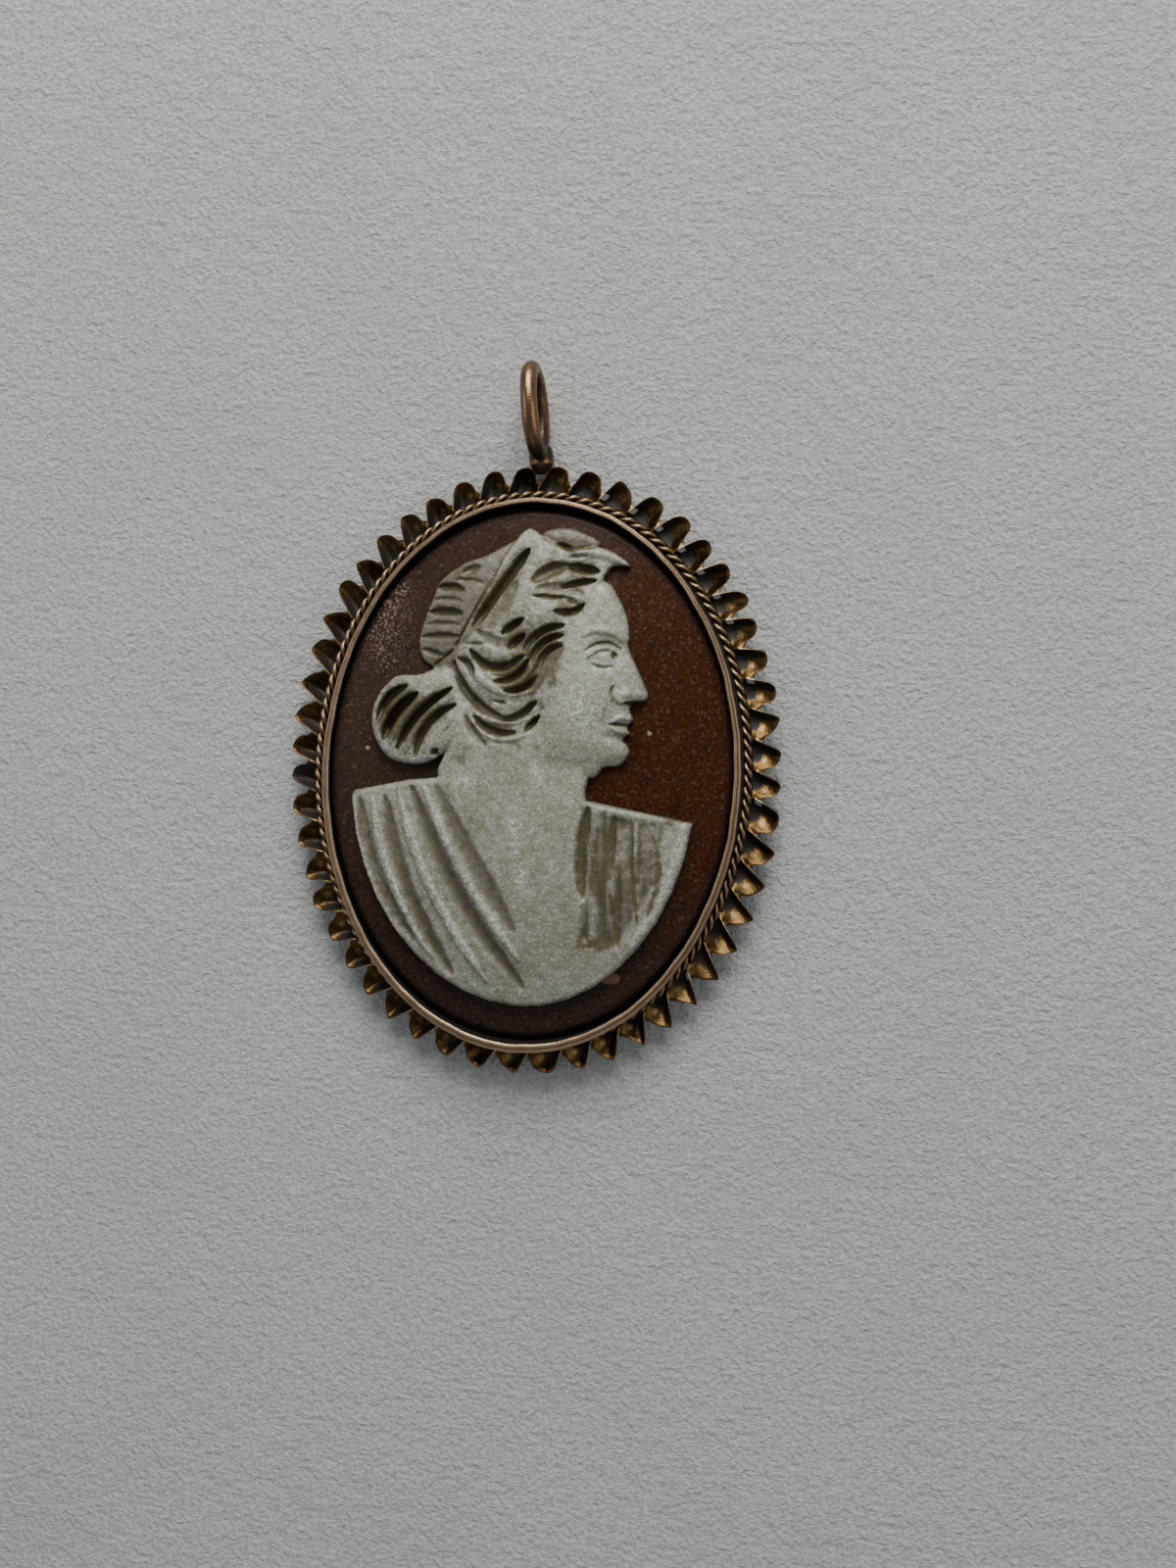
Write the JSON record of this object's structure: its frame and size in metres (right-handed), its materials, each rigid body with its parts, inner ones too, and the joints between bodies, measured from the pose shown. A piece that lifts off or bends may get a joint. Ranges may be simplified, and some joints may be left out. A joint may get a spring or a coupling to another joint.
{
  "type": "cameo pendant",
  "caption": "Oval carved-shell cameo pendant with a classical head facing right, in a twisted-wire and scalloped metal frame with a long narrow bail.",
  "frame": {"origin": "middle of the foot of the bounding box, under the middle between the border's lowest cup and the bail's tip, at the table", "axes": "+X to the right as worn and as the face looks, +Y towards the bail, +Z out of the carved side; the foot of the bezel lies on Z = 0"},
  "size_m": [0.0288, 0.0412, 0.0051],
  "materials": {
    "metal": "worn, darkened in the hollows",
    "shell_brown": "polished shell with fine scratches",
    "shell_white": "satin carved shell, grime in the cuts"
  },
  "bodies": {
    "root": {"setting": "metal", "shell_ground": "shell_brown", "shell_relief": "shell_white"}
  },
  "joints": []
}
